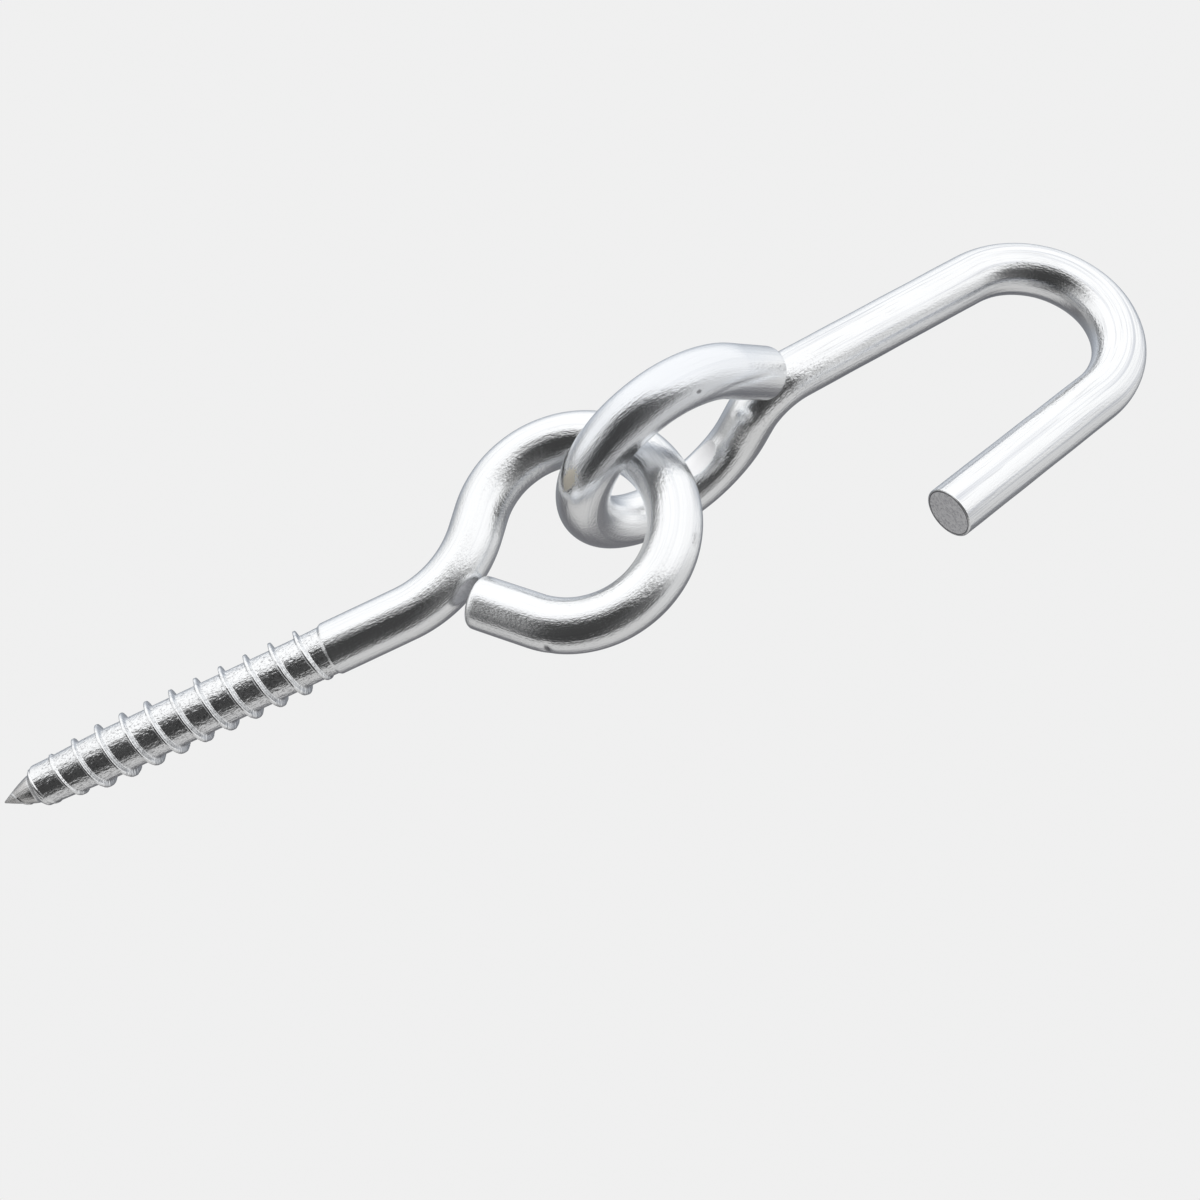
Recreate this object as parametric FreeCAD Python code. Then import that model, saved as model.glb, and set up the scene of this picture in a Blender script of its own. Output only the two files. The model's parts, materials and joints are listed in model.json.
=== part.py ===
"""Hammock hook: a screw eye with a coarse wood thread, and a rod hook whose own eye is linked through it.

Millimetres, +Z up. The origin is on the screw's axis at the shoulder between the thread and the plain
shank. The screw leans back from the vertical and the hook is balanced on its eye, as in the photograph.
"""
import FreeCAD, Part
import math
import os

from FreeCAD import Placement, Rotation, Vector

# Rod that both pieces are bent from.
ROD_D = 10.0

# Rolled thread, from the shoulder to the point.
THREAD_L = 66.5
CREST_D = 11.7
ROOT_D = 9.2
PITCH = 5.0
CREST_FLAT = 0.5
FLANK_DEG = 24.0
FIRST_CREST_Z = 1.6
START_DEG = 90.0
FADE_IN_L = 2.5
START_H = 0.05
TAPER_L = 22.0
FIRST_CREST_D = 8.5
CORE_END_D = 8.2
STEP_L = 1.6
GIMLET_L = 7.7
GIMLET_D = 5.8
GIMLET_H = 0.4
GIMLET_BULGE = 1.2
POINT_L = 1.4
POINT_D = 0.5

# Screw eye below the thread: straight shank, sideways bend, neck, loop and a tail back to the shank.
SCREW_SHANK_L = 14.5
SCREW_BEND_R = 21.7
SCREW_BEND_DEG = 52.6
SCREW_NECK_L = 4.0
SCREW_LOOP_R = 18.1
SCREW_LOOP_DEG = 277.6
SCREW_TAIL_GAP = 0.5

# Hook: its eye, straight shank, U bend and return leg.
HOOK_BEND_R = 10.5
HOOK_BEND_DEG = 67.0
HOOK_NECK_L = 4.0
HOOK_LOOP_R = 18.9
HOOK_LOOP_DEG = 284.8
HOOK_TAIL_GAP = 0.3
HOOK_SHANK_L = 41.4
HOOK_U_R = 17.5
HOOK_U_DEG = 172.9
HOOK_LEG_L = 40.0

# How the two pieces lie together: the screw's lean from plumb, the link on each loop and how the hook turns.
SCREW_LEAN_DEG = 20.9
LINK_ROUND_DEG = 41.9
EYE_ROUND_DEG = 22.2
HOOK_TILT_DEG = 11.3
HOOK_TWIST_DEG = 6.2
LINK_GAP = 0.35

# Points that fix each half turn's curve.
STRAND_STEPS = 16

ROD_R = ROD_D / 2
UP = Vector(0, 0, 1)
X_AXIS = Vector(1, 0, 0)
Y_AXIS = Vector(0, 1, 0)


class RodPath:
    """A bent rod's centreline, laid out flat: along is the way it sets off, and aside is to its left."""

    def __init__(self, along, aside):
        self.along = along
        self.aside = aside
        self.here = (0.0, 0.0)
        self.heading = 0.0
        self.edges = []

    def point(self, flat):
        return self.along * flat[0] + self.aside * flat[1]

    def line(self, length):
        ahead = (
            self.here[0] + length * math.cos(self.heading),
            self.here[1] + length * math.sin(self.heading),
        )
        self.edges.append(Part.LineSegment(self.point(self.here), self.point(ahead)).toShape())
        self.here = ahead

    def arc(self, radius, turn_deg):
        """Turns left for a positive angle and right for a negative one. Returns the arc's centre."""
        turn = math.radians(turn_deg)
        side = math.copysign(radius, turn)
        centre = (
            self.here[0] - side * math.sin(self.heading),
            self.here[1] + side * math.cos(self.heading),
        )

        def on_arc(share):
            heading = self.heading + share * turn
            return (centre[0] + side * math.sin(heading), centre[1] - side * math.cos(heading))

        ends = [self.point(on_arc(share)) for share in (0.0, 0.5, 1.0)]
        self.edges.append(Part.Arc(*ends).toShape())
        self.here = on_arc(1.0)
        self.heading += turn
        return centre

    def rod(self):
        """The solid rod round this centreline."""
        first = self.edges[0]
        heading = first.tangentAt(first.FirstParameter)
        section = Part.Face(Part.Wire(Part.makeCircle(ROD_R, first.firstVertex().Point, heading)))
        return Part.Wire(self.edges).makePipe(section)


def tail_length(path, bend_centre, bend_r, gap):
    """How far a tail runs on before its cut end's near corner is the gap away from the bend's outside."""
    ahead = (math.cos(path.heading), math.sin(path.heading))
    corner = (path.here[0] + ROD_R * ahead[1], path.here[1] - ROD_R * ahead[0])
    offset = (corner[0] - bend_centre[0], corner[1] - bend_centre[1])
    closing = offset[0] * ahead[0] + offset[1] * ahead[1]
    reach = bend_r + ROD_R + gap
    beyond = offset[0] ** 2 + offset[1] ** 2 - reach ** 2
    return -closing - math.sqrt(closing ** 2 - beyond)


def add_eye(path, bend_r, bend_deg, neck, loop_r, loop_deg, gap):
    """Bends the rod aside, round in a loop and back to its shank. Returns the loop's centre, flat."""
    bend_centre = path.arc(bend_r, bend_deg)
    path.line(neck)
    loop_centre = path.arc(loop_r, -loop_deg)
    path.line(tail_length(path, bend_centre, bend_r, gap))
    return loop_centre


def on_loop(path, centre, radius, round_deg):
    """A point of a loop's centreline, that far round to the left of its far side, and the rod's way there."""
    angle = math.radians(round_deg)
    out = (math.cos(angle), math.sin(angle))
    point = path.point((centre[0] + radius * out[0], centre[1] + radius * out[1]))
    return point, path.point((-out[1], out[0]))


def blend(x, x0, x1, y0, y1):
    """A value that goes smoothly from y0 at x0 to y1 at x1 and keeps still beyond them."""
    share = min(max((x - x0) / (x1 - x0), 0.0), 1.0)
    return y0 + (y1 - y0) * share * share * (3 - 2 * share)


def core_r(z):
    """The root's radius: straight, then a slight taper, a step down and the gimlet's bulging cone."""
    step_z = THREAD_L - GIMLET_L
    gimlet_z = step_z + STEP_L
    if z < step_z:
        return blend(z, THREAD_L - TAPER_L, step_z, ROOT_D / 2, CORE_END_D / 2)
    if z < gimlet_z:
        return blend(z, step_z, gimlet_z, CORE_END_D / 2, GIMLET_D / 2)
    share = min((z - gimlet_z) / (THREAD_L - gimlet_z), 1.0)
    return GIMLET_D / 2 - (GIMLET_D - POINT_D) / 2 * share ** GIMLET_BULGE


def crest_r(z):
    """The crest's radius: it fades in at the shoulder, keeps still, tapers and dies out before the point."""
    step_z = THREAD_L - GIMLET_L
    gimlet_z = step_z + STEP_L
    end_z = THREAD_L - POINT_L
    if z < FIRST_CREST_Z + FADE_IN_L:
        return blend(z, FIRST_CREST_Z, FIRST_CREST_Z + FADE_IN_L, ROOT_D / 2 + START_H, CREST_D / 2)
    if z < step_z:
        return blend(z, THREAD_L - TAPER_L, step_z, CREST_D / 2, FIRST_CREST_D / 2)
    if z < gimlet_z:
        return blend(z, step_z, gimlet_z, FIRST_CREST_D / 2, GIMLET_D / 2 + GIMLET_H)
    return core_r(z) + blend(z, gimlet_z, end_z, GIMLET_H, START_H)


def ridge_corners(turns):
    """The ridge's section after some turns: radius and height of its lower foot, crest edges and upper foot."""
    z = FIRST_CREST_Z + PITCH * turns
    crest = crest_r(z)
    half_flat = CREST_FLAT / 2
    half_foot = half_flat + (crest - core_r(z)) * math.tan(math.radians(FLANK_DEG))
    return [
        (core_r(z - half_foot), z - half_foot),
        (crest, z - half_flat),
        (crest, z + half_flat),
        (core_r(z + half_foot), z + half_foot),
    ]


def on_turn(turns, corner):
    angle = 2 * math.pi * turns + math.radians(START_DEG)
    return Vector(corner[0] * math.cos(angle), corner[0] * math.sin(angle), corner[1])


def half_turn(first, corner_at):
    """The curve that a corner of the section draws over half a turn."""
    steps = [first + i / 2 / STRAND_STEPS for i in range(STRAND_STEPS + 1)]
    curve = Part.BSplineCurve()
    curve.interpolate([on_turn(turns, corner_at(turns)) for turns in steps])
    return curve.toShape()


def half_circle(first, corner):
    return Part.Arc(*[on_turn(first + quarter / 4, corner) for quarter in range(3)]).toShape()


def end_cap(turns, corners):
    """The flat face across the section where the ridge begins or ends."""
    points = [on_turn(turns, corner) for corner in corners]
    return Part.Face(Part.makePolygon(points + points[:1]))


def threaded_end():
    """The thread with its gimlet point, skinned half a turn at a time between the corners of the ridge."""
    halves = int(2 * (THREAD_L - POINT_L - FIRST_CREST_Z) / PITCH)
    last = halves / 2
    base = (ROD_R, 0.0)
    tip = (POINT_D / 2, THREAD_L)
    strands = [
        [half_turn(i / 2, lambda turns: ridge_corners(turns)[corner]) for i in range(halves)]
        for corner in range(4)
    ]
    base_arcs = [half_circle(i / 2, base) for i in range(2)]
    tip_arcs = [half_circle(last - 1 + i / 2, tip) for i in range(2)]

    # Each strand is skinned to the next one, and the upper foot to the lower foot one turn on.
    pairs = list(zip(base_arcs, strands[0]))
    for lower, upper in zip(strands, strands[1:]):
        pairs += zip(lower, upper)
    pairs += zip(strands[3], strands[0][2:])
    pairs += zip(strands[3][-2:], tip_arcs)
    faces = [Part.makeRuledSurface(lower, upper) for lower, upper in pairs]

    faces.append(Part.Face(Part.Wire(base_arcs)))
    faces.append(Part.Face(Part.Wire(tip_arcs)))
    faces.append(end_cap(0, [base] + ridge_corners(0) + ridge_corners(1)[:1]))
    faces.append(end_cap(last, ridge_corners(last - 1)[3:] + ridge_corners(last) + [tip]))
    shell = Part.makeShell(faces)
    shell.sewShape()
    return Part.makeSolid(shell)


def screw_eye():
    """The screw eye upright on its own axis, the point of its loop under the hook, and the rod's way there."""
    path = RodPath(-UP, X_AXIS)
    path.line(SCREW_SHANK_L)
    centre = add_eye(
        path, SCREW_BEND_R, SCREW_BEND_DEG, SCREW_NECK_L, SCREW_LOOP_R, SCREW_LOOP_DEG, SCREW_TAIL_GAP,
    )
    link, rod_way = on_loop(path, centre, SCREW_LOOP_R, LINK_ROUND_DEG)
    return path.rod().fuse(threaded_end()), link, rod_way


def hook():
    """The hook with its shank straight down, the point of its eye on the screw, and the rod's way there."""
    eye = RodPath(UP, Y_AXIS)
    centre = add_eye(
        eye, HOOK_BEND_R, HOOK_BEND_DEG, HOOK_NECK_L, HOOK_LOOP_R, HOOK_LOOP_DEG, HOOK_TAIL_GAP,
    )
    seat, eye_way = on_loop(eye, centre, HOOK_LOOP_R, -EYE_ROUND_DEG)
    body = RodPath(-UP, X_AXIS)
    body.line(HOOK_SHANK_L)
    body.arc(HOOK_U_R, -HOOK_U_DEG)
    body.line(HOOK_LEG_L)
    return eye.rod().fuse(body.rod()).removeSplitter(), seat, eye_way


def swing_to_plumb(arm, axis):
    """The angle that an arm turns about an axis until it hangs straight below it."""
    down = axis * axis.dot(UP) - UP
    arm = arm - axis * axis.dot(arm)
    return math.degrees(math.atan2(axis.dot(arm.cross(down)), arm.dot(down)))


def main():
    os.makedirs("parts", exist_ok=True)
    lean = Rotation(X_AXIS, -SCREW_LEAN_DEG)
    screw, link, rod_way = screw_eye()
    screw.Placement = Placement(Vector(0, 0, 0), lean)
    link = lean.multVec(link)
    rod_way = lean.multVec(rod_way)

    # The hook's eye crosses the screw's loop a rod away from it, and the hook swings there until it is plumb.
    hanging, seat, eye_way = hook()
    turn = Rotation(Y_AXIS, -HOOK_TILT_DEG).multiply(Rotation(UP, HOOK_TWIST_DEG))
    across = rod_way.cross(turn.multVec(eye_way)).normalize()
    hanging.Placement = Placement(link + across * (ROD_D + LINK_GAP) - turn.multVec(seat), turn)
    hanging.rotate(link, rod_way, swing_to_plumb(hanging.Solids[0].CenterOfGravity - link, rod_way))

    for name, shape in (("screw_eye", screw), ("hook", hanging)):
        shape.exportStep(f"parts/{name}.step")


main()
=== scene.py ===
"""Hammock hook: the bright zinc-plated screw eye and the hook linked through it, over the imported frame."""
import json
import math

import bpy
import numpy as np
from mathutils import Matrix, Vector


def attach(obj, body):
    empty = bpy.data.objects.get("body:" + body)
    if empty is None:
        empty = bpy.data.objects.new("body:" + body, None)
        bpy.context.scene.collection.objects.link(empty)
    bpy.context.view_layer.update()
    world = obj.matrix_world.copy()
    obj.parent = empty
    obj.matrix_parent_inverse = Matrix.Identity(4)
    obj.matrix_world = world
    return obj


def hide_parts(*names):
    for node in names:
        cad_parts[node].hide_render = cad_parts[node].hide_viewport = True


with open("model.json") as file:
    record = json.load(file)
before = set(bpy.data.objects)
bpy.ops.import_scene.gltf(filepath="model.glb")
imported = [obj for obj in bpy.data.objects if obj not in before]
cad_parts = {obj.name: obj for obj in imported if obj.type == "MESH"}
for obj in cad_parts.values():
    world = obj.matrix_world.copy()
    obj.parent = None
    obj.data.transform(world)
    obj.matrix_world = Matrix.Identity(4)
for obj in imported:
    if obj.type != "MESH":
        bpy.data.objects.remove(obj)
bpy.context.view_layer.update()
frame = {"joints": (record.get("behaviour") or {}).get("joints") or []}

MM = 0.001

# Rod and thread, in millimetres, as in the part's source, but for a finer, rounder ridge and a soft shoulder.
ROD_R = 5.0
THREAD_L = 66.5
CREST_R = 5.85
ROOT_R = 4.6
PITCH = 5.0
CREST_FLAT = 0.4
FLANK_DEG = 17.0
RIDGE_ROUND = 0.55
FIRST_CREST_Z = 1.6
START_DEG = 90.0
FADE_IN_L = 2.5
TAPER_L = 22.0
FIRST_CREST_R = 4.25
CORE_END_R = 4.1
STEP_L = 1.6
GIMLET_L = 7.7
GIMLET_R = 2.9
GIMLET_H = 0.4
GIMLET_BULGE = 1.2
POINT_L = 1.4
POINT_R = 0.25
SHOULDER_L = 0.9

# Heights above the shoulder where the thread's taper, step and gimlet begin, and where its ridge ends.
TAPER_Z = THREAD_L - TAPER_L
STEP_Z = THREAD_L - GIMLET_L
GIMLET_Z = STEP_Z + STEP_L
RIDGE_END_Z = THREAD_L - POINT_L

# Screw eye: shank, sideways bend, neck, loop and tail.
SCREW_SHANK_L = 14.5
SCREW_BEND_R = 21.7
SCREW_BEND_DEG = 52.6
SCREW_NECK_L = 4.0
SCREW_LOOP_R = 18.1
SCREW_LOOP_DEG = 277.6
SCREW_TAIL_GAP = 0.5

# Hook: its eye, then shank, U bend and leg.
HOOK_BEND_R = 10.5
HOOK_BEND_DEG = 67.0
HOOK_NECK_L = 4.0
HOOK_LOOP_R = 18.9
HOOK_LOOP_DEG = 284.8
HOOK_TAIL_GAP = 0.3
HOOK_SHANK_L = 41.4
HOOK_U_R = 17.5
HOOK_U_DEG = 172.9
HOOK_LEG_L = 40.0

# How the two pieces lie together, as in the part's source. The swing is the one that hangs the hook plumb.
SCREW_LEAN_DEG = 20.9
EYE_ROUND_DEG = 22.2
HOOK_TILT_DEG = 11.3
HOOK_TWIST_DEG = 6.2
HOOK_SWING_DEG = -3.8761
LINK_GAP = 0.35

# Mesh density.
AROUND = 96
ROD_STEP = 0.42
THREAD_STEP = 0.115
EDGE_RINGS = 6
FACE_RINGS = 14

# The skin keeps this far inside the solid rod and thread, so that its unevenness doesn't stand proud.
# From the rod's to the thread's it grows over INSET_FADE_L above the shoulder.
SKIN_INSET = 0.03
THREAD_INSET = 0.11
INSET_FADE_L = 4.0
SKIN_R = ROD_R - SKIN_INSET

# Slow waves of the drawn and bent rod, and short nicks in the rolled ridge: the waves' lobes round the rod,
# the range of their lengths, and their height.
ROD_WAVES = ((1, 2, 3, 3, 4, 5, 6, 8), (5.0, 26.0), 0.010)
RIDGE_WAVES = ((5, 7, 9, 11, 13, 16), (1.5, 6.0), 0.35)
SCREW_SEED = 3
HOOK_SEED = 8
RIDGE_SEED = 5

# Cut ends: how far their edges are rounded, how hollow and torn the sheared face is, where its burr is,
# and how much of that shows on the edge. A torn wave has its pace each way across the face and its start.
SCREW_EDGE = 1.3
EYE_EDGE = 0.8
TIP_EDGE = 0.3
SHEAR = 0.12
TORN = 0.03
TORN_WAVES = ((2.3, 1.1, 0.0), (-2.9, 1.7, 2.0))
BURR_DEG = 79.0
EDGE_CUT = 0.5

# Tool marks and wear. Each has its place along the rod, its angle round it, and half its length and width.
# A dent has its depth next, and a slanting one its drift in degrees for each millimetre along the rod.
# The hook's places are counted from the foot of its eye, and its eye's are below zero.
# A flat is worked out no further than FLAT_SPAN, in radians, from its middle.
SCREW_FOLD = (122.6, 8.0, 0.5, 1.6, 0.40)
EYE_FLAT = (-26.0, 78.0, 6.0, 2.2)
TAIL_LINE = (-112.0, 205.0, 7.0, 0.5, 0.19, -2.65)
EYE_NOTCH = (-74.7, 266.0, 2.3, 1.4, 0.12)
EYE_PIT = (-99.2, 206.0, 0.6, 0.5, 0.12)
ROUGH_PATCH = (-3.0, 133.0, 8.0, 2.2)
FLAT_SPAN = 1.2

# A stretch of the hook's eye that is rougher and coloured a little darker and bluer: its start, its end and
# the length over which it fades.
SATIN = (-121.0, -70.0, 12.0)

# How plainly the lines of drawing show: more on the hook's shank and leg than on its eye and the screw.
DRAWN = (-12.0, 6.0, 0.3, 1.0)
SCREW_DRAWN = 0.25

# Wear of the thread. Pits set in above the shoulder, and the ridge is spared some of them. Pits and nicks
# fade out before the gimlet, and the dull point sets in where the gimlet begins.
PITTED_FROM = (0.3, 1.2)
RIDGE_SPARED = 0.5
BODY_FADE_L = 4.0
POINT_FROM = (-0.4, 0.3)

# Values that each point of a skin carries for the plate.
MASKS = ("cut", "root", "point", "satin", "wear", "flat", "drawn", "pit")

# Noises in the plate, over the rod drawn out straight: stretch, scale for each millimetre, detail, roughness.
STREAK_NOISE = ((1.0, 1.0, 0.015), 0.9, 2.0, 0.55)
LINE_NOISE = ((1.0, 1.0, 0.04), 2.6, 3.0, 0.55)
RIPPLE_NOISE = ((1.0, 1.0, 0.45), 3.4, 3.0, 0.55)
CLOUD_NOISE = ((1.0, 1.0, 0.4), 0.25, 4.0, 0.55)
SPECK_NOISE = ((1.0, 1.0, 1.0), 2.2, 4.0, 0.65)
GRAIN_NOISE = ((1.0, 1.0, 0.8), 1.5, 2.0, 0.5)

# Colours of the plate and of what lies over it.
BRIGHT = (0.92, 0.93, 0.94, 1.0)
STREAK = (0.66, 0.68, 0.72, 1.0)
LINE = (0.52, 0.53, 0.55, 1.0)
SATIN_BLUE = (0.80, 0.83, 0.88, 1.0)
DULL = (0.30, 0.30, 0.31, 1.0)
POINT_BROWN = (0.36, 0.34, 0.32, 1.0)
WORN = (0.90, 0.84, 0.72, 1.0)
PIT_DARK = (0.16, 0.16, 0.17, 1.0)
# The pressed flat is real, but its paler colour is a painted highlight.
FLAT_HIGHLIGHT = (0.95, 0.95, 0.96, 1.0)
RIM_DARK = (0.20, 0.20, 0.21, 1.0)
FACE_GREY = (0.74, 0.74, 0.76, 1.0)
FACE_PALE = (0.97, 0.97, 0.98, 1.0)

# How strongly each of them shows: a share, or where its noise or mask sets in and is full, and the shares
# there. Specks, times WORN_SPECKS, break up the worn notch.
STREAK_SHARE = (0.50, 0.68, 0.0, 1.0)
LINE_SHARE = (0.54, 0.72, 0.0, 0.35)
SATIN_SHARE = 0.5
DULL_SHARE = (0.52, 0.64, 0.0, 0.7)
POINT_SHARE = 0.5
WORN_SPECKS = 1.4
WORN_SHARE = (1.00, 1.25, 0.0, 0.9)
PIT_SHARE = (0.3, 0.8, 0.0, 0.8)
RIM_SHARE = (0.25, 0.55, 0.0, 1.0)
FACE_SHARE = (0.65, 0.95, 0.0, 1.0)
FACE_PALE_SHARE = (0.36, 0.56, 0.0, 1.0)

# Roughness of the plate by its clouds, and what the marks on it add.
CLOUD_ROUGHNESS = (0.3, 0.7, 0.12, 0.20)
SATIN_ROUGHNESS = 0.04
ROOT_ROUGHNESS = 0.05
CUT_ROUGHNESS = 0.62
FLAT_ROUGHNESS = 0.26
WORN_ROUGHNESS = 0.30

# Heights of the plate's bumps.
STREAK_BUMP = 0.09
RIPPLE_BUMP = 0.06
PITTED_BUMP = 0.13

# Camera of the photograph, whose image is 1200 pixels square.
CAMERA_AT = Vector((-0.136363, -0.282009, 0.037358))
IMAGE_UP = Vector((0.83815, -0.47220, -0.27302))
TO_CAMERA = Vector((-0.40436, -0.87384, 0.26998))
IMAGE_RIGHT = IMAGE_UP.cross(TO_CAMERA)
FOCAL_PX = 1735.13
IMAGE_PX = 1200
SENSOR_MM = 36.0
CLIP_START = 0.01

# Surroundings that the plate mirrors, as a ring of colours: the angle from the camera towards the top of the
# image, and the red, green and blue there.
STUDIO_RING = (
    (-180, (0.24, 0.25, 0.27)),
    (-150, (0.16, 0.16, 0.17)),
    (-136, (0.18, 0.18, 0.19)),
    (-119, (0.58, 0.575, 0.57)),
    (-60, (0.66, 0.655, 0.65)),
    (-15, (1.08, 1.08, 1.08)),
    (116, (1.12, 1.12, 1.12)),
    (138, (0.76, 0.79, 0.83)),
    (156, (0.42, 0.45, 0.50)),
    (180, (0.24, 0.25, 0.27)),
)

# The dark part of that ring, which narrows and grows paler to the right of the image.
DARK_AT_DEG = -30.0
DARK_HALF_DEG = 46.0
DARK_SKEW_DEG = 32.0
DARK_MOST_DEG = 54.0
DARK_SOFT_DEG = 13.0
DARK_TONE = (-0.1, 0.5, 0.05, 0.12)

# The surroundings left and right of the ring: brightness by height, and on the left also by depth.
LEFT_BY_HEIGHT = (-0.5, 0.15, 0.32, 1.0)
LEFT_BY_DEPTH = (-0.45, -0.05, 0.35, 1.0)
RIGHT_BY_HEIGHT = (-0.3, 0.25, 0.68, 1.02)
LEFT_TO_RIGHT = (-0.3, 0.3)
RING_TO_SIDE = (0.55, 0.98)

# Floor and backdrop.
PALE = (0.87, 0.87, 0.87, 1.0)
BLACK = (0.0, 0.0, 0.0, 1.0)
FLOOR_Z = -0.20
FLOOR_HALF = 0.9

# Axes, the angles of a ring's points, the slice that turns rows round, and a length that keeps zero out.
UP = np.array((0.0, 0.0, 1.0))
X_AXIS = np.array((1.0, 0.0, 0.0))
Y_AXIS = np.array((0.0, 1.0, 0.0))
ANGLES = 2 * math.pi * np.arange(AROUND)[None, :] / AROUND
BACKWARDS = slice(None, None, -1)
TINY = 1e-6


class RodPath:
    """A bent rod's centreline, laid out flat and sampled.

    along is the way it sets off, and aside is to its left.
    """

    def __init__(self, along, aside):
        self.along = along
        self.aside = aside
        self.here = np.zeros(2)
        self.heading = 0.0
        self.flat = [self.here]
        self.headings = [0.0]
        self.run = [0.0]

    def point(self, flat):
        return self.along * flat[0] + self.aside * flat[1]

    def add(self, flat, heading, run):
        self.flat.append(flat)
        self.headings.append(heading)
        self.run.append(run)

    def line(self, length):
        way = np.array((math.cos(self.heading), math.sin(self.heading)))
        start = self.run[-1]
        steps = math.ceil(length / ROD_STEP)
        for i in range(1, steps + 1):
            gone = length * i / steps
            self.add(self.here + gone * way, self.heading, start + gone)
        self.here = self.flat[-1]

    def arc(self, radius, turn_deg):
        """Turns left for a positive angle and right for a negative one. Returns the arc's centre."""
        turn = math.radians(turn_deg)
        side = math.copysign(radius, turn)
        centre = self.here + side * np.array((-math.sin(self.heading), math.cos(self.heading)))
        start = self.run[-1]
        length = abs(turn) * radius
        steps = math.ceil(length / ROD_STEP)
        for i in range(1, steps + 1):
            heading = self.heading + turn * i / steps
            flat = centre + side * np.array((math.sin(heading), -math.cos(heading)))
            self.add(flat, heading, start + length * i / steps)
        self.here = self.flat[-1]
        self.heading += turn
        return centre

    def rings(self):
        """Centres, ways to the left, the plane's normal and the distance run, one row for each ring."""
        flat = np.array(self.flat)
        heading = np.array(self.headings)
        centres = np.outer(flat[:, 0], self.along) + np.outer(flat[:, 1], self.aside)
        left = np.outer(-np.sin(heading), self.along) + np.outer(np.cos(heading), self.aside)
        normal = np.tile(np.cross(self.along, self.aside), (len(flat), 1))
        return centres, left, normal, np.array(self.run)


def tail_length(path, bend_centre, bend_r, gap):
    """How far a tail runs on before its cut end's near corner is the gap away from the bend's outside."""
    ahead = np.array((math.cos(path.heading), math.sin(path.heading)))
    corner = path.here + ROD_R * np.array((ahead[1], -ahead[0]))
    offset = corner - bend_centre
    closing = offset @ ahead
    beyond = offset @ offset - (bend_r + ROD_R + gap) ** 2
    return -closing - math.sqrt(closing ** 2 - beyond)


def add_eye(path, bend_r, bend_deg, neck, loop_r, loop_deg, gap):
    """Bends the rod aside, round in a loop and back to its shank. Returns the loop's centre, flat."""
    bend_centre = path.arc(bend_r, bend_deg)
    path.line(neck)
    loop_centre = path.arc(loop_r, -loop_deg)
    path.line(tail_length(path, bend_centre, bend_r, gap))
    return loop_centre


def on_loop(path, centre, radius, round_deg):
    """A point of a loop's centreline, that far round to the left of its far side, and the rod's way there."""
    angle = math.radians(round_deg)
    out = np.array((math.cos(angle), math.sin(angle)))
    point = path.point(centre + radius * out)
    return Vector(point), Vector(path.point((-out[1], out[0])))


def smooth(share):
    return share * share * (3 - 2 * share)


def blend(x, x0, x1, y0, y1):
    """A value that goes smoothly from y0 at x0 to y1 at x1 and keeps still beyond them."""
    return y0 + (y1 - y0) * smooth(np.clip((x - x0) / (x1 - x0), 0.0, 1.0))


def core_radius(z):
    """The thread's root: straight, then a slight taper, a step down and the gimlet's bulging cone."""
    body = blend(z, TAPER_Z, STEP_Z, ROOT_R, CORE_END_R)
    step = blend(z, STEP_Z, GIMLET_Z, CORE_END_R, GIMLET_R)
    share = np.clip((z - GIMLET_Z) / (THREAD_L - GIMLET_Z), 0.0, 1.0)
    cone = GIMLET_R - (GIMLET_R - POINT_R) * share ** GIMLET_BULGE
    return np.where(z < STEP_Z, body, np.where(z < GIMLET_Z, step, cone))


def crest_radius(z):
    """The crest: it fades in at the shoulder, keeps still, tapers to the step and dies out on the gimlet."""
    start = blend(z, FIRST_CREST_Z, FIRST_CREST_Z + FADE_IN_L, ROOT_R, CREST_R)
    body = blend(z, TAPER_Z, STEP_Z, CREST_R, FIRST_CREST_R)
    step = blend(z, STEP_Z, GIMLET_Z, FIRST_CREST_R, GIMLET_R + GIMLET_H)
    last = core_radius(z) + blend(z, GIMLET_Z, RIDGE_END_Z, GIMLET_H, 0.0)
    return np.where(z < STEP_Z, np.minimum(start, body), np.where(z < GIMLET_Z, step, last))


def thread_radius(z, angle):
    """The thread's radius and how much of that is ridge, from 0 on the root to 1 on the crest."""
    turns = (angle - math.radians(START_DEG)) / (2 * math.pi)
    turns = turns + np.round((z - FIRST_CREST_Z) / PITCH - turns)
    ridge_z = FIRST_CREST_Z + PITCH * turns
    core = core_radius(z)
    height = np.clip(crest_radius(ridge_z) - core_radius(ridge_z), 0.0, None)
    foot = height * math.tan(math.radians(FLANK_DEG))
    inside = CREST_FLAT / 2 + foot - np.abs(z - ridge_z)
    share = np.clip(inside / np.maximum(foot, TINY), 0.0, 1.0)
    share += RIDGE_ROUND * (smooth(share) - share)
    share[(turns < 0) | (ridge_z > RIDGE_END_Z)] = 0.0
    plain = core + blend(z, 0.0, SHOULDER_L, ROD_R - ROOT_R, 0.0)
    return np.maximum(plain, core + height * share), share


def waves(run, angle, seed, all_lobes, lengths, height):
    """Waves in a skin, each with its own number of lobes round the rod and its own length along it."""
    rng = np.random.default_rng(seed)
    total = np.zeros(np.broadcast(run, angle).shape)
    for lobes in all_lobes:
        length = rng.uniform(*lengths)
        phase = rng.uniform(0.0, 2 * math.pi)
        lag = rng.uniform(0.0, 2 * math.pi)
        total += np.sin(2 * math.pi * run / length + lag) * np.cos(lobes * angle + phase) / lobes
    return height * total


def unmarked(shape):
    return {name: np.zeros(shape) for name in MASKS}


def drawn_out(run, shape):
    """Each point's place on the same rod drawn out straight, for the grain that runs along it."""
    parts = (ROD_R * np.cos(ANGLES), ROD_R * np.sin(ANGLES), run)
    return np.stack([np.broadcast_to(part, shape) for part in parts], -1)


def round_from(degrees):
    """The angle of each point of a ring from a line along the rod, from minus to plus half a turn."""
    return np.angle(np.exp(1j * (ANGLES - np.radians(degrees))))


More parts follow.
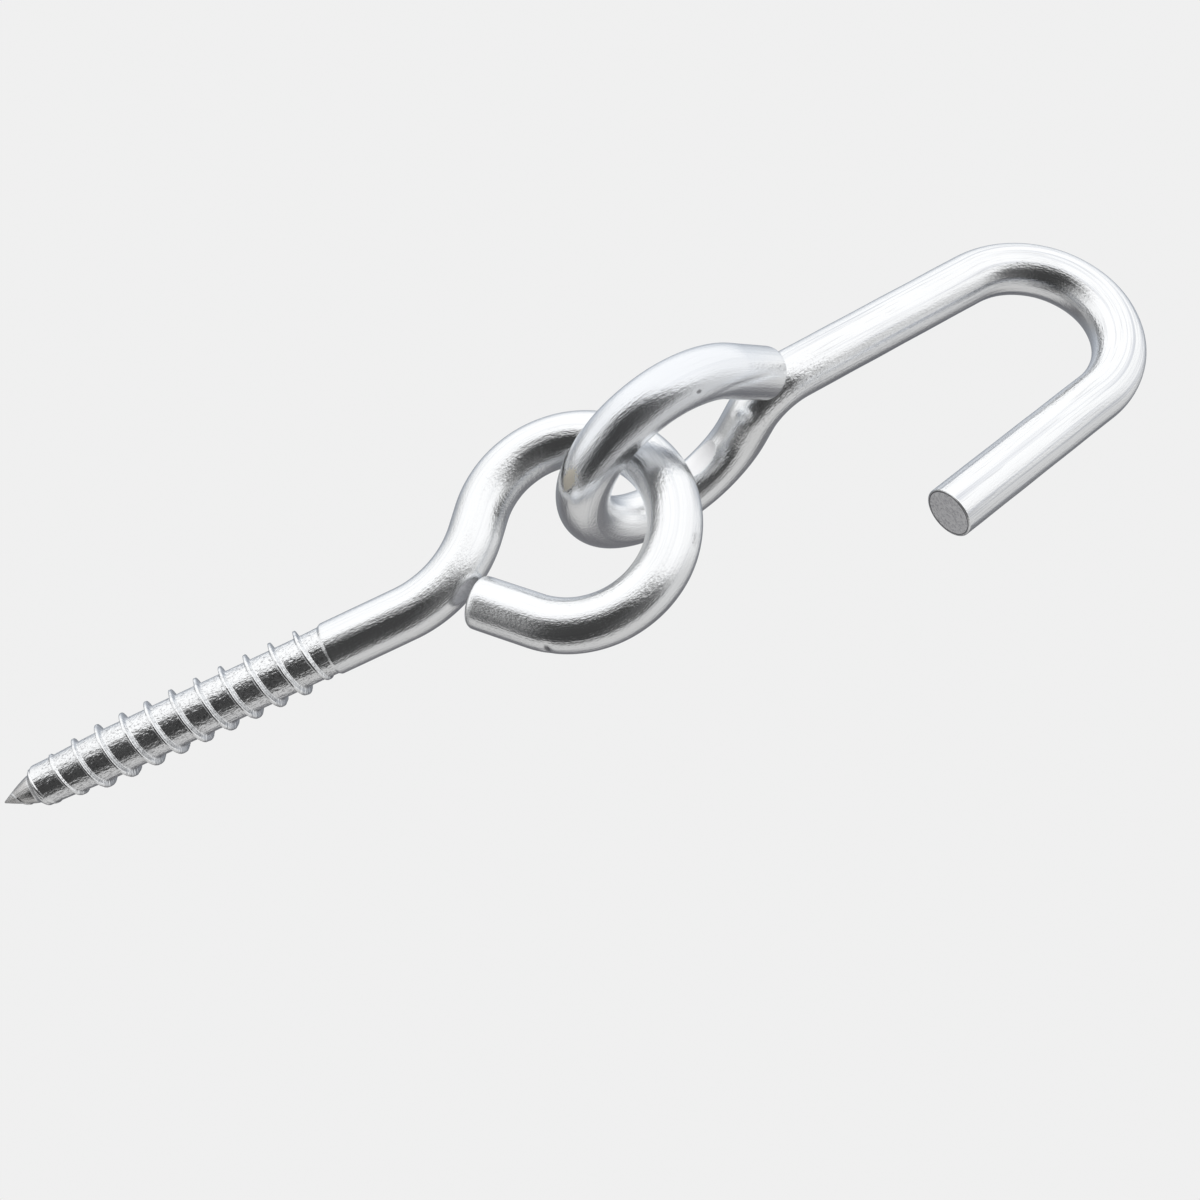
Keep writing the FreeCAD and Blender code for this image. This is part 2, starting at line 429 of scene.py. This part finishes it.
class Skin:
    """A rod's skin laid out as a grid: one row for each ring, one column for each step round."""

    def __init__(self, centres, side, other, run, seed):
        self.centres = centres
        self.side = side
        self.other = other
        self.run = run[:, None]
        self.radius = SKIN_R + waves(self.run, ANGLES, seed, *ROD_WAVES)
        self.masks = unmarked(self.radius.shape)

    def flatten(self, run, degrees, half_length, half_width):
        """Presses a flat with an oval outline into the rod, and returns where it is."""
        along = np.clip((self.run - run) / half_length, -1.0, 1.0)
        width = half_width * np.sqrt(1 - along ** 2)
        height = np.sqrt(SKIN_R ** 2 - width ** 2)
        level = height / np.cos(np.minimum(np.abs(round_from(degrees)), FLAT_SPAN))
        inside = (np.abs(along) < 1) & (level < self.radius)
        self.radius = np.where(inside, level, self.radius)
        return inside

    def bowl(self, run, degrees, half_length, half_width, drift=0.0):
        """A share that is 1 at a place on the rod and falls off smoothly round it."""
        along = self.run - run
        across = ROD_R * round_from(degrees + drift * along)
        return np.exp(-(along / half_length) ** 2 - (across / half_width) ** 2)

    def dent(self, run, degrees, half_length, half_width, depth, drift=0.0):
        """Presses a bowl into the rod, and returns its share."""
        share = self.bowl(run, degrees, half_length, half_width, drift)
        self.radius -= depth * share
        return share

    def stretch(self, start, end, fade):
        """A share that is 1 along a length of the rod and fades in and out at its ends."""
        return blend(self.run, start, start + fade, 0.0, 1.0) * blend(self.run, end - fade, end, 1.0, 0.0)

    def mark(self, mask, share):
        self.masks[mask] = np.broadcast_to(share, self.radius.shape)

    def points(self):
        across = np.cos(ANGLES)[..., None] * self.side[:, None, :]
        out = across + np.sin(ANGLES)[..., None] * self.other[:, None, :]
        return self.centres[:, None, :] + self.radius[..., None] * out

    def grid(self):
        return {"points": self.points(), "rod": drawn_out(self.run, self.radius.shape), **self.masks}


def cut_end(skin, row, way, edge_round):
    """Closes a rod at one ring with a rounded edge and a sheared face, and gives the same kind of grid."""
    angle = ANGLES[0]
    rings = []
    for i in range(1, EDGE_RINGS + 1):
        share = i / EDGE_RINGS
        turn = share * math.pi / 2
        in_by = edge_round * (1 - math.cos(turn))
        rings.append((SKIN_R - in_by, edge_round * (1 - math.sin(turn)), EDGE_CUT * share))
    for i in range(1, FACE_RINGS):
        rings.append(((SKIN_R - edge_round) * (1 - i / FACE_RINGS), 0.0, 1.0))
    size, back, cut = (np.array(column)[:, None] for column in zip(*rings))
    x = size * np.cos(angle)
    y = size * np.sin(angle)
    torn = TORN * np.abs(sum(np.sin(by_x * x + by_y * y + start) for by_x, by_y, start in TORN_WAVES))
    depth = back + SHEAR * (1 - (size / SKIN_R) ** 2) + torn * (size < SKIN_R - edge_round)
    across = x[..., None] * skin.side[row] + y[..., None] * skin.other[row]
    points = skin.centres[row] + across - depth[..., None] * way
    run = np.full(x.shape, skin.run[row, 0])
    masks = unmarked(x.shape)
    burr = 0.5 + 0.5 * np.cos(angle - math.radians(BURR_DEG))
    masks["cut"] = np.where(cut < 1.0, cut * burr, 1.0)
    return {"points": points, "rod": np.stack((x, y, run), -1), **masks}


def end_rows(edge_round):
    """How many rings at a cut end make room for its rounded edge."""
    return math.ceil(edge_round / ROD_STEP)


def part_of(grid, rows):
    return {name: value[rows] for name, value in grid.items()}


def joined(grids):
    return {name: np.concatenate([grid[name] for grid in grids]) for name in grids[0]}


def ring_faces(count):
    """Faces between rings that follow each other, and a fan to a middle point at either end."""
    here = np.arange(AROUND)
    after = (here + 1) % AROUND
    ring = AROUND * np.arange(count - 1)[:, None]
    quads = np.stack((ring + here, ring + after, ring + AROUND + after, ring + AROUND + here), -1)
    faces = quads.reshape(-1, 4).tolist()
    first_middle = count * AROUND
    last_middle = first_middle + 1
    last_ring = first_middle - AROUND
    for k, following in zip(here.tolist(), after.tolist()):
        faces.append([first_middle, following, k])
        faces.append([last_middle, last_ring + k, last_ring + following])
    return faces


def make_piece(name, grid, place):
    """A closed mesh over a grid of rings, with a middle point at each end.

    The grid's other values become attributes of the mesh's points.
    """
    count = len(grid["points"])
    flat = {}
    for key, value in grid.items():
        value = value.reshape(count, AROUND, -1)
        middles = (value[:1].mean(1), value[-1:].mean(1))
        flat[key] = np.concatenate((value.reshape(count * AROUND, -1), *middles))
    mesh = bpy.data.meshes.new(name)
    mesh.from_pydata((flat.pop("points") * MM).tolist(), [], ring_faces(count))
    mesh.shade_smooth()
    rod = mesh.attributes.new("rod", "FLOAT_VECTOR", "POINT")
    rod.data.foreach_set("vector", flat.pop("rod").ravel())
    for key, value in flat.items():
        mesh.attributes.new(key, "FLOAT", "POINT").data.foreach_set("value", value.ravel())
    mesh.transform(place)
    piece = bpy.data.objects.new(name, mesh)
    bpy.context.scene.collection.objects.link(piece)
    return piece


def thread():
    """The thread's grid, from its point down to the shoulder."""
    angle = -ANGLES
    z = np.linspace(THREAD_L, 0.0, int(THREAD_L / THREAD_STEP))[:-1, None]
    radius, ridge = thread_radius(z, angle)
    on_body = blend(z, STEP_Z - BODY_FADE_L, GIMLET_Z, 1.0, 0.0)
    nicks = np.maximum(waves(z, angle, RIDGE_SEED, *RIDGE_WAVES), 0.0)
    radius -= ridge * on_body * nicks
    radius -= blend(z, 0.0, INSET_FADE_L, SKIN_INSET, THREAD_INSET)
    shape = radius.shape
    masks = unmarked(shape)
    masks["root"] = (1 - RIDGE_SPARED * ridge) * blend(z, *PITTED_FROM, 0.0, 1.0) * on_body
    masks["point"] = (1 - ridge) * blend(z - GIMLET_Z, *POINT_FROM, 0.0, 1.0)
    points = np.stack((radius * np.cos(angle), radius * np.sin(angle), np.broadcast_to(z, shape)), -1)
    return {"points": points, "rod": drawn_out(-z, shape), **masks}


def screw_eye():
    """The screw eye, upright on its own axis and then leaned over."""
    path = RodPath(-UP, X_AXIS)
    path.line(SCREW_SHANK_L)
    add_eye(path, SCREW_BEND_R, SCREW_BEND_DEG, SCREW_NECK_L, SCREW_LOOP_R, SCREW_LOOP_DEG, SCREW_TAIL_GAP)
    skin = Skin(*path.rings(), SCREW_SEED)
    skin.mark("pit", skin.dent(*SCREW_FOLD))
    skin.mark("drawn", SCREW_DRAWN)
    end = cut_end(skin, -1, np.cross(skin.side[-1], skin.other[-1]), SCREW_EDGE)
    kept = slice(0, -end_rows(SCREW_EDGE))
    grid = joined((thread(), part_of(skin.grid(), kept), end))
    return make_piece("screw_eye_skin", grid, Matrix.Rotation(math.radians(-SCREW_LEAN_DEG), 4, "X"))


def hook_place(seat, eye_way):
    """Where the hook hangs: its eye crosses the screw's loop at the hinge, and it is swung plumb there."""
    hinge = frame["joints"][0]
    link = Vector(hinge["pos_m"])
    rod_way = Vector(hinge["axis"])
    tilt = Matrix.Rotation(math.radians(-HOOK_TILT_DEG), 4, "Y")
    turn = tilt @ Matrix.Rotation(math.radians(HOOK_TWIST_DEG), 4, "Z")
    across = rod_way.cross(turn @ eye_way).normalized()
    from_link = (across * (2 * ROD_R + LINK_GAP) - turn @ seat) * MM
    swing = Matrix.Rotation(math.radians(HOOK_SWING_DEG), 4, rod_way)
    return Matrix.Translation(link) @ swing @ Matrix.Translation(from_link) @ turn


def hook():
    """The hook, from its eye's cut end to its leg's, made with its shank straight down and then hung up."""
    eye = RodPath(UP, Y_AXIS)
    loop_centre = add_eye(
        eye, HOOK_BEND_R, HOOK_BEND_DEG, HOOK_NECK_L, HOOK_LOOP_R, HOOK_LOOP_DEG, HOOK_TAIL_GAP,
    )
    body = RodPath(-UP, X_AXIS)
    body.line(HOOK_SHANK_L)
    body.arc(HOOK_U_R, -HOOK_U_DEG)
    body.line(HOOK_LEG_L)
    eye_centres, eye_left, eye_normal, eye_run = eye.rings()
    centres, left, normal, run = body.rings()
    skin = Skin(
        np.concatenate((eye_centres[BACKWARDS], centres[1:])),
        np.concatenate((-eye_normal[BACKWARDS], left[1:])),
        np.concatenate((-eye_left[BACKWARDS], normal[1:])),
        np.concatenate((-eye_run[BACKWARDS], run[1:])),
        HOOK_SEED,
    )
    skin.mark("flat", skin.flatten(*EYE_FLAT))
    skin.dent(*TAIL_LINE)
    skin.mark("wear", skin.dent(*EYE_NOTCH))
    skin.mark("root", skin.bowl(*ROUGH_PATCH))
    skin.mark("drawn", blend(skin.run, *DRAWN))
    skin.mark("pit", skin.dent(*EYE_PIT))
    skin.mark("satin", skin.stretch(*SATIN))
    start = cut_end(skin, 0, -np.cross(skin.side[0], skin.other[0]), EYE_EDGE)
    end = cut_end(skin, -1, np.cross(skin.side[-1], skin.other[-1]), TIP_EDGE)
    kept = slice(end_rows(EYE_EDGE), -end_rows(TIP_EDGE))
    grid = joined((part_of(start, BACKWARDS), part_of(skin.grid(), kept), end))
    seat, eye_way = on_loop(eye, loop_centre, HOOK_LOOP_R, -EYE_ROUND_DEG)
    return make_piece("hook_skin", grid, hook_place(seat, eye_way))


class Graph:
    """Short ways to add and join shader nodes."""

    # Places of the mix node's sockets for colours.
    MIX_A = 6
    MIX_B = 7
    MIX_OUT = 2

    def __init__(self, tree):
        self.tree = tree
        tree.nodes.clear()

    def node(self, kind, **settings):
        made = self.tree.nodes.new(kind)
        for key, value in settings.items():
            setattr(made, key, value)
        return made

    def join(self, source, target):
        self.tree.links.new(source, target)

    def put(self, value, socket):
        if isinstance(value, bpy.types.NodeSocket):
            self.join(value, socket)
        else:
            socket.default_value = value

    def math(self, operation, *values):
        made = self.node("ShaderNodeMath", operation=operation)
        for value, socket in zip(values, made.inputs):
            self.put(value, socket)
        return made.outputs[0]

    def dot(self, vector, axis):
        made = self.node("ShaderNodeVectorMath", operation="DOT_PRODUCT")
        self.join(vector, made.inputs[0])
        made.inputs[1].default_value = axis
        return made.outputs["Value"]

    def value(self, name):
        return self.node("ShaderNodeAttribute", attribute_name=name).outputs["Fac"]

    def range(self, value, low, high, to_low=0.0, to_high=1.0):
        made = self.node("ShaderNodeMapRange", interpolation_type="SMOOTHSTEP")
        for item, socket in zip((value, low, high, to_low, to_high), made.inputs):
            self.put(item, socket)
        return made.outputs[0]

    def noise(self, place, stretch, scale, detail, rough):
        moved = self.node("ShaderNodeMapping")
        self.join(place, moved.inputs["Vector"])
        moved.inputs["Scale"].default_value = stretch
        made = self.node("ShaderNodeTexNoise")
        self.join(moved.outputs[0], made.inputs["Vector"])
        made.inputs["Scale"].default_value = scale
        made.inputs["Detail"].default_value = detail
        made.inputs["Roughness"].default_value = rough
        return made.outputs["Fac"]

    def mix(self, share, a, b):
        made = self.node("ShaderNodeMix", data_type="RGBA")
        self.put(share, made.inputs["Factor"])
        self.put(a, made.inputs[self.MIX_A])
        self.put(b, made.inputs[self.MIX_B])
        return made.outputs[self.MIX_OUT]

    def bump(self, height, distance, normal=None):
        made = self.node("ShaderNodeBump")
        made.inputs["Strength"].default_value = 1.0
        made.inputs["Distance"].default_value = distance * MM
        self.join(height, made.inputs["Height"])
        if normal is not None:
            self.join(normal, made.inputs["Normal"])
        return made.outputs[0]


def zinc():
    """Bright zinc plate on drawn rod: long streaks, fine grain, pitted thread roots and matt cut ends."""
    material = bpy.data.materials.new("zinc_plate")
    material.use_nodes = True
    g = Graph(material.node_tree)
    out = g.node("ShaderNodeOutputMaterial")
    shader = g.node("ShaderNodeBsdfPrincipled")
    g.join(shader.outputs[0], out.inputs["Surface"])
    shader.inputs["Metallic"].default_value = 1.0

    place = g.node("ShaderNodeAttribute", attribute_name="rod").outputs["Vector"]
    cut, root, point, satin, wear, flat, drawn, pit = (g.value(name) for name in MASKS)
    streaks = g.noise(place, *STREAK_NOISE)
    lines = g.noise(place, *LINE_NOISE)
    ripples = g.noise(place, *RIPPLE_NOISE)
    clouds = g.noise(place, *CLOUD_NOISE)
    specks = g.noise(place, *SPECK_NOISE)
    grain = g.noise(place, *GRAIN_NOISE)

    worn = g.range(g.math("MULTIPLY_ADD", specks, WORN_SPECKS, wear), *WORN_SHARE)
    face = g.mix(g.range(specks, *FACE_PALE_SHARE), FACE_GREY, FACE_PALE)
    layers = (
        (g.math("MULTIPLY", drawn, g.range(streaks, *STREAK_SHARE)), STREAK),
        (g.math("MULTIPLY", drawn, g.range(lines, *LINE_SHARE)), LINE),
        (g.math("MULTIPLY", satin, SATIN_SHARE), SATIN_BLUE),
        (g.math("MULTIPLY", root, g.range(specks, *DULL_SHARE)), DULL),
        (g.math("MULTIPLY", point, POINT_SHARE), POINT_BROWN),
        (worn, WORN),
        (g.range(pit, *PIT_SHARE), PIT_DARK),
        # Painted highlight: the pressed flat is coloured paler, as if it caught the light.
        (flat, FLAT_HIGHLIGHT),
        (g.range(cut, *RIM_SHARE), RIM_DARK),
        (g.range(cut, *FACE_SHARE), face),
    )
    colour = BRIGHT
    for share, layer in layers:
        colour = g.mix(share, colour, layer)
    g.join(colour, shader.inputs["Base Color"])

    added = (
        (satin, SATIN_ROUGHNESS),
        (root, ROOT_ROUGHNESS),
        (cut, CUT_ROUGHNESS),
        (flat, FLAT_ROUGHNESS),
        (worn, WORN_ROUGHNESS),
    )
    rough = g.range(clouds, *CLOUD_ROUGHNESS)
    for mask, more in added:
        rough = g.math("MULTIPLY_ADD", mask, more, rough)
    g.join(rough, shader.inputs["Roughness"])

    pitted = g.math("MULTIPLY", grain, g.math("MAXIMUM", root, cut))
    normal = g.bump(streaks, STREAK_BUMP)
    normal = g.bump(ripples, RIPPLE_BUMP, normal)
    normal = g.bump(pitted, PITTED_BUMP, normal)
    g.join(normal, shader.inputs["Normal"])
    return material


def studio():
    """Soft studio surroundings that plate can mirror, and a plain pale backdrop for the camera."""
    world = bpy.data.worlds.new("studio")
    bpy.context.scene.world = world
    world.use_nodes = True
    g = Graph(world.node_tree)
    out = g.node("ShaderNodeOutputWorld")
    way = g.node("ShaderNodeTexCoord").outputs["Generated"]
    up = g.dot(way, IMAGE_UP)
    near = g.dot(way, TO_CAMERA)
    right = g.dot(way, IMAGE_RIGHT)

    turn = g.math("ARCTAN2", up, near)
    ring = g.node("ShaderNodeValToRGB")
    g.join(g.math("MULTIPLY_ADD", turn, 0.5 / math.pi, 0.5), ring.inputs[0])
    elements = ring.color_ramp.elements
    while len(elements) < len(STUDIO_RING):
        elements.new(0.5)
    for element, (degrees, colour) in zip(elements, STUDIO_RING):
        element.position = degrees / 360 + 0.5
        element.color = (*colour, 1.0)

    off = g.math("ABSOLUTE", g.math("SUBTRACT", turn, math.radians(DARK_AT_DEG)))
    reach = g.math("MULTIPLY_ADD", right, -math.radians(DARK_SKEW_DEG), math.radians(DARK_HALF_DEG))
    reach = g.math("MINIMUM", reach, math.radians(DARK_MOST_DEG))
    soft = math.radians(DARK_SOFT_DEG)
    dark = g.range(g.math("SUBTRACT", off, reach), -soft, soft, 1.0, 0.0)
    front = g.mix(dark, ring.outputs[0], g.range(right, *DARK_TONE))

    left_side = g.math("MULTIPLY", g.range(up, *LEFT_BY_HEIGHT), g.range(near, *LEFT_BY_DEPTH))
    sides = g.mix(g.range(right, *LEFT_TO_RIGHT), left_side, g.range(up, *RIGHT_BY_HEIGHT))
    aside = g.math("ABSOLUTE", right)
    surroundings = g.mix(g.range(aside, *RING_TO_SIDE), front, sides)

    mirrored = g.node("ShaderNodeBackground")
    g.join(surroundings, mirrored.inputs["Color"])
    backdrop = g.node("ShaderNodeBackground")
    backdrop.inputs["Color"].default_value = PALE
    both = g.node("ShaderNodeMixShader")
    g.join(g.node("ShaderNodeLightPath").outputs["Is Camera Ray"], both.inputs[0])
    g.join(mirrored.outputs[0], both.inputs[1])
    g.join(backdrop.outputs[0], both.inputs[2])
    g.join(both.outputs[0], out.inputs["Surface"])


def floor():
    """A plain pale floor below the hanging hook, which the plate doesn't mirror."""
    signs = ((-1, -1), (1, -1), (1, 1), (-1, 1))
    corners = [(x * FLOOR_HALF, y * FLOOR_HALF, FLOOR_Z) for x, y in signs]
    mesh = bpy.data.meshes.new("floor")
    mesh.from_pydata(corners, [], [(0, 1, 2, 3)])
    piece = bpy.data.objects.new("floor", mesh)
    bpy.context.scene.collection.objects.link(piece)
    material = bpy.data.materials.new("floor_paint")
    material.use_nodes = True
    shader = material.node_tree.nodes["Principled BSDF"]
    shader.inputs["Base Color"].default_value = BLACK
    shader.inputs["Specular IOR Level"].default_value = 0.0
    shader.inputs["Emission Color"].default_value = PALE
    shader.inputs["Emission Strength"].default_value = 1.0
    mesh.materials.append(material)
    piece.visible_glossy = False


def camera():
    """The camera of the photograph."""
    data = bpy.data.cameras.new("photo_camera")
    data.sensor_width = SENSOR_MM
    data.lens = FOCAL_PX / IMAGE_PX * SENSOR_MM
    data.clip_start = CLIP_START
    made = bpy.data.objects.new("photo_camera", data)
    turn = Matrix((IMAGE_RIGHT, IMAGE_UP, TO_CAMERA)).transposed()
    made.matrix_world = Matrix.Translation(CAMERA_AT) @ turn.to_4x4()
    bpy.context.scene.collection.objects.link(made)
    bpy.context.scene.camera = made


bpy.context.scene.view_settings.view_transform = "Standard"
camera()
studio()
floor()
plate = zinc()
for piece, node in ((screw_eye(), "screw_eye"), (hook(), "hook")):
    piece.data.materials.append(plate)
    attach(piece, node)
    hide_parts(node)
